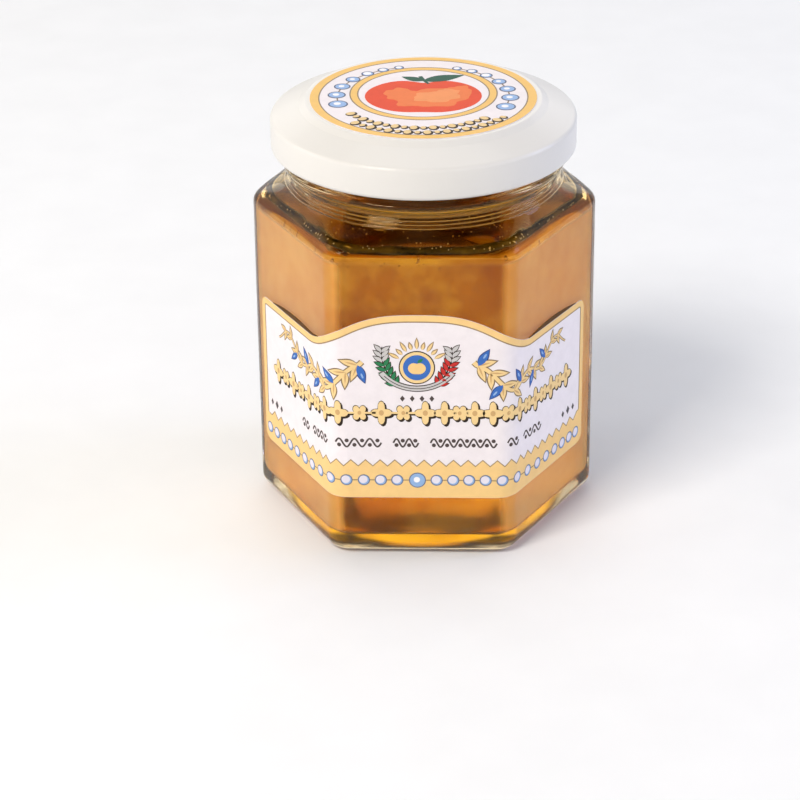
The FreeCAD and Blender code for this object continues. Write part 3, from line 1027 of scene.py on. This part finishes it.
def label_line(inset, lower_edge):
    """The label's outline set in by a margin, over a lower edge that runs from left to right."""
    corner = max(LABEL_CORNER - inset, 0.3)
    left, right = LABEL_LEFT + inset + corner, LABEL_RIGHT - inset - corner
    top = END_TOP - inset - corner
    crest = []
    for n in range(1, CREST_STEPS):
        along = right + (left - right) * n / CREST_STEPS
        slope = (label_top(along + 0.05) - label_top(along - 0.05)) / 0.1
        lean = math.hypot(1, slope)
        crest.append((along + inset * slope / lean, label_top(along) - inset / lean))
    return lower_edge + arc(right, top, corner, 0, 90) + crest + arc(left, top, corner, 90, 180)


def plain_lower_edge(inset):
    corner = LABEL_CORNER - inset
    left, right = LABEL_LEFT + inset + corner, LABEL_RIGHT - inset - corner
    low = LABEL_LOW.z + inset + corner
    return arc(left, low, corner, 180, 270) + arc(right, low, corner, 270, 360)


ZIGZAG_PITCH, ZIGZAG_LOW, ZIGZAG_HIGH = 2.93, 20.45, 21.85
ZIGZAG_TOOTH, ZIGZAG_END, ZIGZAG_MOST = 0.5, 0.3, 40


def zigzag_edge(inset):
    """The toothed upper edge of the gold band, from left to right."""
    left, right = LABEL_LEFT + inset, LABEL_RIGHT - inset
    points = []
    for n in range(-ZIGZAG_MOST, ZIGZAG_MOST):
        along = ZIGZAG_TOOTH + ZIGZAG_PITCH / 2 * n
        if left + ZIGZAG_END < along < right - ZIGZAG_END:
            points.append((along, (ZIGZAG_LOW if n % 2 else ZIGZAG_HIGH) + droop(along)))
    return [(left, points[0][1] + 0.2)] + points + [(right, points[-1][1] + 0.2)]


# Start, end and depth of the painted shade on the glass that shows over each hollow of the label's edge.
EDGE_SHADE = ((-43.0, -22.5, 1.05), (24.0, 43.5, 0.95))
EDGE_SHADE_STEPS = 30


def print_edge_shade(inks):
    for start, end, depth in EDGE_SHADE:
        lower, upper = [], []
        for n in range(EDGE_SHADE_STEPS + 1):
            share = n / EDGE_SHADE_STEPS
            along = start + (end - start) * share
            swell = math.sin(math.pi * share) ** 0.8
            lower.append((along, label_top(along) - 0.35))
            upper.append((along, label_top(along) + depth * swell + 0.02))
        inks["edge_shade"].polygon(lower + upper[::-1])


MARGIN = 1.42

# Where the small pearls hang along the label and the large one. The places are not made by a formula:
# they were read off the photo, and those at the left that it hides were filled in.
PEARLS = [-45.8, -42.65, -39.6, -36.5, -33.2, -29.7, -26.4, -22.7, -18.7, -15.1, -11.6, -8.2, -4.9,
          2.98, 6.3, 9.5, 12.8, 16.2, 19.9, 24.0, 28.0, 31.6, 35.1, 38.3, 41.3, 44.0]
BIG_PEARL = -0.86
PEARL_HEIGHT, PEARL_SIZE, BIG_PEARL_SIZE = 17.3, 1.02, 1.5


def print_pearl(inks, along, size, body, body_share):
    high = PEARL_HEIGHT + droop(along)
    inks["pearl_edge"].ellipse(along, high, size + 0.22)
    inks["pale_blue"].ellipse(along, high, size)
    inks[body].ellipse(along - 0.12, high + 0.12, size * body_share)


def print_border(inks):
    """The gold border with its toothed band, and the chain of pearls."""
    outer = label_line(0.05, plain_lower_edge(0.05))
    window = label_line(MARGIN, zigzag_edge(MARGIN))
    inks["gold_band"].polygon(outer, window)
    inks["thin_line"].line(window, 0.24, closed=True)
    inks["thin_line"].line([(along, PEARL_HEIGHT + droop(along)) for along in PEARLS], 0.22)
    for along in PEARLS:
        print_pearl(inks, along, PEARL_SIZE, "pearl", 0.84)
    print_pearl(inks, BIG_PEARL, BIG_PEARL_SIZE, "white", 0.42)


# ---------------------------------------------------------------- the label's ornaments


def boss(inks, along, height, size, star):
    """One gold boss of the ornamental row: a lozenge with hollow sides or a four-lobed flower."""
    def outline(x, y, grow):
        points = []
        for n in range(32):
            angle = math.pi / 16 * n
            wave = abs(math.cos(2 * angle)) ** 1.6 if star else abs(math.sin(2 * angle)) ** 0.8
            reach = (0.46 + 0.54 * wave) * size + grow
            points.append((x + reach * 0.82 * math.cos(angle), y + reach * math.sin(angle)))
        return points
    inks["shadow"].polygon(outline(along + 0.34, height - 0.34, 0.16))
    inks["shadow"].polygon(outline(along, height, 0.16))
    inks["gold_print"].polygon(outline(along, height, 0))
    inks["gold_dark"].ellipse(along, height, size * 0.2, size * 0.24, steps=12)


# Start, end and number of bosses of each group of the row.
BOSS_GROUPS = ((-41.0, -20.2, 7), (-16.6, 0.8, 5), (4.6, 10.6, 3), (14.2, 39.4, 9))
BOSS_HEIGHT, STAR_SIZE, FLOWER_SIZE = 32.4, 2.55, 1.9


def print_bosses(inks):
    """A row of gold bosses joined by a rule, in four groups."""
    for start, end, count in BOSS_GROUPS:
        rule = [(along, BOSS_HEIGHT + droop(along)) for along in np.linspace(start, end, 24)]
        inks["shadow"].line([(x + 0.2, y - 0.2) for x, y in rule], 0.75)
        inks["gold_print"].line(rule, 0.42)
        for n in range(count):
            along = start + (end - start) * n / (count - 1)
            star = n % 2 == 0
            boss(inks, along, BOSS_HEIGHT + droop(along), STAR_SIZE if star else FLOWER_SIZE, star)


# Start and end of each stretch of the wave.
WAVES = (
    (-30.3, -27.3), (-25.6, -19.4), (-17.2, -8.0), (-5.6, -0.6), (1.8, 15.0), (17.2, 20.2), (22.2, 29.3),
)
WAVE_HEIGHT, WAVE_LENGTH, WAVE_SWING, WAVE_STEPS = 25.7, 2.9, 0.9, 16


def print_waves(inks):
    """A thin running wave with a dot in every hollow."""
    for start, end in WAVES:
        count = max(1, round((end - start) / WAVE_LENGTH))
        length = (end - start) / count
        line = []
        for n in range(count * WAVE_STEPS + 1):
            along = start + (end - start) * n / (count * WAVE_STEPS)
            swing = math.sin(2 * math.pi * (along - start) / length)
            line.append((along, WAVE_HEIGHT + droop(along) + WAVE_SWING * swing))
        inks["dark_line"].line(line, 0.36)
        for n in range(count):
            for share, way in ((0.25, -1), (0.75, 1)):
                along = start + length * (n + share)
                inks["dark_line"].ellipse(along, WAVE_HEIGHT + droop(along) + way * 0.5, 0.42, steps=12)


LOZENGE_MIDDLES, LOZENGE_HEIGHT = (-42.3, 40.6), 23.9


def print_lozenges(inks):
    """Three small grey lozenges near each end."""
    for middle in LOZENGE_MIDDLES:
        for n in (-1, 0, 1):
            x, y = middle + 2.1 * n, LOZENGE_HEIGHT + droop(middle) - 0.1 * abs(n)
            size = 0.75 if n else 0.95
            wide = size * 0.7
            inks["grey_ink"].polygon([(x - wide, y), (x, y - size), (x + wide, y), (x, y + size)])


SPRAY_START, SPRAY_LENGTH, SPRAY_TOP, SPRAY_SAG = 11.0, 28.5, 43.6, 5.4
LEAF_PAIRS, LEAF_LEAN, BUD_LEAN = 11, 42, 84


def spray_stem(side, share):
    """Point of a spray's stem at a share of its length."""
    along = SPRAY_START + SPRAY_LENGTH * share
    sag = SPRAY_SAG * math.sin(math.pi * min(1, share * 1.12) ** 0.75)
    high = SPRAY_TOP - sag + 1.2 * math.sin(share * 17)
    return LABEL_SHIFT + side * along, high - 2.6 * share ** 3 + 0.4 * droop(along)


def print_spray(inks, side):
    """A laurel spray that hangs between the emblem and one end, with paired leaves and blue buds."""
    line = [spray_stem(side, n / 60) for n in range(61)]
    inks["brown_line"].line(line, 1.3, 0.5)
    inks["gold_print"].line(line, 0.9, 0.22)
    for n in range(LEAF_PAIRS):
        share = 0.03 + 0.085 * n
        (x, y), (after, rise) = spray_stem(side, share), spray_stem(side, share + 0.02)
        lean = math.degrees(math.atan2(rise - y, after - x))
        length = 3.9 - 1.8 * share
        for way in (1, -1):
            turn = lean + way * LEAF_LEAN
            inks["brown_line"].leaf(x, y, length + 0.3, 1.75 - 0.7 * share, turn)
            inks["gold_print"].leaf(x, y, length - 0.1, 1.3 - 0.6 * share, turn)
            inks["gold_dark"].leaf(x, y, length * 0.7, 0.35, turn)
        if n % 2 == 0 and n < LEAF_PAIRS - 1:
            turn = lean + (BUD_LEAN if n % 4 == 0 else -BUD_LEAN)
            reach = 2.5 - 0.9 * share
            inks["blue_edge"].leaf(x, y, reach + 1.9, 1.9 - 0.6 * share, turn)
            inks["blue"].leaf(x, y, reach + 1.6, 1.5 - 0.5 * share, turn)
            inks["pale_top"].ellipse(*placed([(reach, 0)], x, y, turn)[0], 0.6, 0.2, turn, 10)


EMBLEM_X, EMBLEM_Y = -0.8, 42.4
EMBLEM_WIDENED, EMBLEM_RAISED = 1.14, 1.1


def print_roundel(inks):
    """A blue roundel with a gold apple and rays above it."""
    x, y = EMBLEM_X, EMBLEM_Y
    inks["shadow"].ellipse(x, y, 3.15, 3.3, steps=36)
    inks["gold_print"].ellipse(x, y, 2.95, 3.1, steps=36)
    inks["blue"].ellipse(x, y, 2.4, 2.5, steps=36)
    inks["gold_top"].polygon([(x + px * 1.5, y - 0.15 + py * 1.35) for px, py in fruit_outline(28)])
    inks["green_top"].leaf(x + 0.1, y + 1.0, 1.3, 0.6, 38)
    for n in range(9):
        angle = 90 + (n - 4) * 15
        turn = math.radians(angle)
        foot = (x + 3.5 * math.cos(turn), y + 3.6 * math.sin(turn))
        inks["thin_line"].leaf(*foot, 2.4 if n % 2 == 0 else 1.7, 0.8, angle)
        inks["gold_print"].leaf(*foot, 2.1 if n % 2 == 0 else 1.4, 0.46, angle)


def print_ear(inks, side, ink):
    """A spray of paired leaves that rises beside the roundel, grey towards its tip."""
    stem = []
    for share in np.linspace(0, 1, 18):
        away = side * (3.4 + 2.7 * math.sin(share * 1.9))
        stem.append((EMBLEM_X + away, EMBLEM_Y - 3.9 + 8.0 * share))
    inks["shadow"].line(stem, 0.34, 0.18)
    for n in range(1, 17, 2):
        (x, y), (after, rise) = stem[n], stem[n + 1]
        lean = math.degrees(math.atan2(rise - y, after - x))
        for turn in (lean + 48, lean - 48):
            inks["shadow"].leaf(x, y, 2.0, 0.95, turn)
            inks["grey_print" if n > 10 else ink].leaf(x, y, 1.8, 0.68, turn)


def print_emblem(inks):
    """The roundel, a spray at each side, and a ribbon and four lozenges below."""
    print_roundel(inks)
    print_ear(inks, -1, "green")
    print_ear(inks, 1, "red")
    ribbon = (EMBLEM_X, EMBLEM_Y + 3.4, 7.6)
    inks["shadow"].line(arc(*ribbon, 216, 324, 24), 1.25)
    inks["grey_print"].line(arc(*ribbon, 216, 324, 24), 0.9)
    inks["dark_top"].line(arc(*ribbon, 222, 318, 24), 0.14)
    for n in (-1.5, -0.5, 0.5, 1.5):
        x = EMBLEM_X + n * 1.7
        inks["dark_line"].polygon([(x - 0.42, 36.2), (x, 35.6), (x + 0.42, 36.2), (x, 36.8)])


def fruit_outline(steps):
    """A plain apple, about one unit to each side, with a dip at the stalk and a shallow one below."""
    points = []
    for n in range(steps):
        angle = 2 * math.pi * n / steps
        up = math.sin(angle)
        dip = 0.24 * math.exp(-((math.cos(angle)) / 0.33) ** 2)
        reach = 1.0 - (dip if up > 0 else dip * 0.35) + 0.03 * math.cos(2 * angle)
        points.append((reach * math.cos(angle), reach * up * 0.94))
    return points


GOLD, GREEN, SHADOW = (250, 209, 140), (48, 130, 84), (52, 40, 30)
PALE_BLUE, WHITE = (150, 184, 228), (252, 250, 252)

# Name, lift over the paper and colour of each ink of the front label.
LABEL_INKS = (
    # Painted shade: a dark sliver on the glass over the label's hollow edges.
    ("edge_shade", -0.045, (92, 58, 10)),
    ("gold_band", 0.020, GOLD),
    ("thin_line", 0.032, (160, 133, 98)),
    ("shadow", 0.034, SHADOW),
    ("dark_line", 0.036, (84, 72, 70)),
    ("brown_line", 0.040, (134, 112, 84)),
    ("grey_ink", 0.036, (92, 84, 84)),
    ("pearl_edge", 0.044, (112, 122, 150)),
    ("blue_edge", 0.046, (60, 76, 130)),
    ("gold_print", 0.050, (248, 214, 152)),
    ("gold_dark", 0.056, (214, 172, 116)),
    ("green", 0.052, GREEN),
    ("red", 0.052, (206, 52, 48)),
    ("grey_print", 0.054, (206, 202, 200)),
    ("blue", 0.060, (62, 112, 192)),
    ("pale_blue", 0.056, PALE_BLUE),
    ("pearl", 0.064, (236, 229, 240)),
    ("white", 0.068, WHITE),
    ("gold_top", 0.068, GOLD),
    ("pale_top", 0.070, PALE_BLUE),
    ("green_top", 0.074, GREEN),
    ("dark_top", 0.066, SHADOW),
)


def print_front():
    inks = {name: Print() for name, _, _ in LABEL_INKS}
    print_edge_shade(inks)
    print_border(inks)
    print_bosses(inks)
    print_waves(inks)
    print_lozenges(inks)
    print_spray(inks, -1)
    print_spray(inks, 1)
    drawn = {name: len(ink.points) for name, ink in inks.items()}
    print_emblem(inks)
    for name, ink in inks.items():
        for n in range(drawn[name], len(ink.points)):
            x, y, level = ink.points[n]
            wider, higher = (x - EMBLEM_X) * EMBLEM_WIDENED, (y - EMBLEM_Y) * EMBLEM_RAISED
            ink.points[n] = (EMBLEM_X + wider, EMBLEM_Y + higher, level)
    for name, lift, colour in LABEL_INKS:
        inks[name].lay("front_" + name, on_glass, lift, colour, bend_cuts())


# ---------------------------------------------------------------- the round label on the lid

DISC = 22.65
INNER_RING, INNER_RING_SHIFT = 14.1, 1.9

# Turn from the back in degrees and size of each bead beside the apple. The right string starts further round.
BEADS = ((18, 0.75), (29.5, 0.9), (42, 1.05), (56.5, 1.25), (71.5, 1.4), (87.5, 1.55), (104.5, 1.7))
BEAD_RING, RIGHT_FURTHER = 17.3, 4

# Radius, start and end in degrees from the front, and number of bosses of the two rows below the apple.
BOSS_ROWS = ((16.9, -56, 46, 17), (19.35, -42, 55, 18))

# Ink, place, half width and height, and turn of each patch on the apple.
PATCHES = (
    ("orange", 1.5, -0.8, 7.6, 5.0, 10),
    ("orange", 6.8, 2.2, 2.6, 3.9, -18),
    ("orange", -4.6, 1.2, 3.2, 3.4, 20),
    ("light", 2.6, -0.2, 4.6, 3.0, 8),
    ("light", 5.0, 2.6, 2.2, 1.6, -10),
)
PATCH_STEPS = 40

# Name, lift over the paper and colour of each ink of the round label.
LID_INKS = (
    ("gold", 0.020, (246, 200, 118)),
    ("line", 0.030, (150, 132, 112)),
    ("shadow", 0.032, (60, 48, 40)),
    ("bead_edge", 0.036, (96, 104, 128)),
    ("gold_print", 0.042, (240, 208, 150)),
    ("bead", 0.044, (158, 188, 230)),
    ("red", 0.040, (232, 82, 50)),
    ("orange", 0.050, (240, 128, 72)),
    ("light", 0.058, (244, 154, 96)),
    ("leaf", 0.062, (52, 96, 78)),
    ("white", 0.056, WHITE),
)


def ring_band(ink, y, outer, inner):
    """A flat ring about a point on the middle line, in quarters so that each part is a plain outline."""
    for start in range(0, 360, 90):
        ink.polygon(arc(0, y, outer, start, start + 90, 30) + arc(0, y, inner, start + 90, start, 30))


def print_rings(inks):
    ring_band(inks["gold"], 0, DISC - 0.05, DISC - 1.75)
    ring_band(inks["line"], 0, DISC - 1.75, DISC - 2.0)
    ring_band(inks["gold"], INNER_RING_SHIFT, INNER_RING + 0.45, INNER_RING - 0.85)
    ring_band(inks["line"], INNER_RING_SHIFT, INNER_RING + 0.7, INNER_RING + 0.45)
    ring_band(inks["line"], INNER_RING_SHIFT, INNER_RING - 0.85, INNER_RING - 1.1)


def print_beads(inks):
    """A string of beads at each side of the apple, smaller towards the back."""
    for side in (-1, 1):
        further = RIGHT_FURTHER if side > 0 else 0
        angles = [math.radians(90 - side * (turn + further)) for turn, _ in BEADS]
        places = [(BEAD_RING * math.cos(angle), BEAD_RING * math.sin(angle)) for angle in angles]
        inks["line"].line(places, 0.3)
        for (x, y), (_, size) in zip(places, BEADS):
            inks["bead_edge"].ellipse(x, y, size + 0.28)
            inks["bead"].ellipse(x, y, size)
            inks["white"].ellipse(x - 0.1 * size, y + 0.1 * size, size * (0.8 if size < 1.1 else 0.42))


def print_boss_rows(inks):
    for radius, start, end, count in BOSS_ROWS:
        inks["shadow"].line(arc(0, 0, radius, start - 90, end - 90, 40), 0.5)
        for n in range(count):
            angle = start - 90 + (end - start) * n / (count - 1)
            turn = math.radians(angle)
            x, y = radius * math.cos(turn), radius * math.sin(turn)
            size = 1.25 if n % 2 == 0 else 0.9
            inks["shadow"].ellipse(x + 0.16, y - 0.24, size, size * 0.85, angle, 12)
            inks["gold_print"].ellipse(x, y, size * 0.78, size * 0.6, angle, 12)


def print_apple(inks):
    back = INNER_RING_SHIFT
    inks["red"].polygon([(x * 11.3, back - 1.6 + y * 10.6) for x, y in fruit_outline(72)])
    for ink, x, y, wide, high, turn in PATCHES:
        patch = []
        for n in range(PATCH_STEPS):
            angle = 2 * math.pi * n / PATCH_STEPS
            reach = 1 + 0.09 * math.sin(5 * angle + x) + 0.06 * math.sin(9 * angle + y)
            patch.append((wide * reach * math.cos(angle), high * reach * math.sin(angle)))
        inks[ink].polygon(placed(patch, x, y, turn))
    inks["leaf"].leaf(-0.2, back + 6.9, 8.8, 3.4, 22)
    inks["leaf"].leaf(-0.2, back + 6.9, 5.0, 2.2, 152)
    inks["leaf"].line([(0.9, back + 5.2), (-0.1, back + 7.2), (-0.9, back + 9.4)], 0.55, 0.8)


def print_lid():
    inks = {name: Print() for name, _, _ in LID_INKS}
    print_rings(inks)
    print_beads(inks)
    print_boss_rows(inks)
    print_apple(inks)
    for name, lift, colour in LID_INKS:
        inks[name].lay("lid_print_" + name, on_lid, lift, colour)


# ---------------------------------------------------------------- run

make_camera()
make_studio()
make_glass()
make_jelly()
make_roll()
make_bubbles()
make_lid()
make_seal()
print_front()
print_lid()
for name in ("front_label", "lid_label"):
    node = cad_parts[name]
    node.data.materials.clear()
    node.data.materials.append(paper_material())
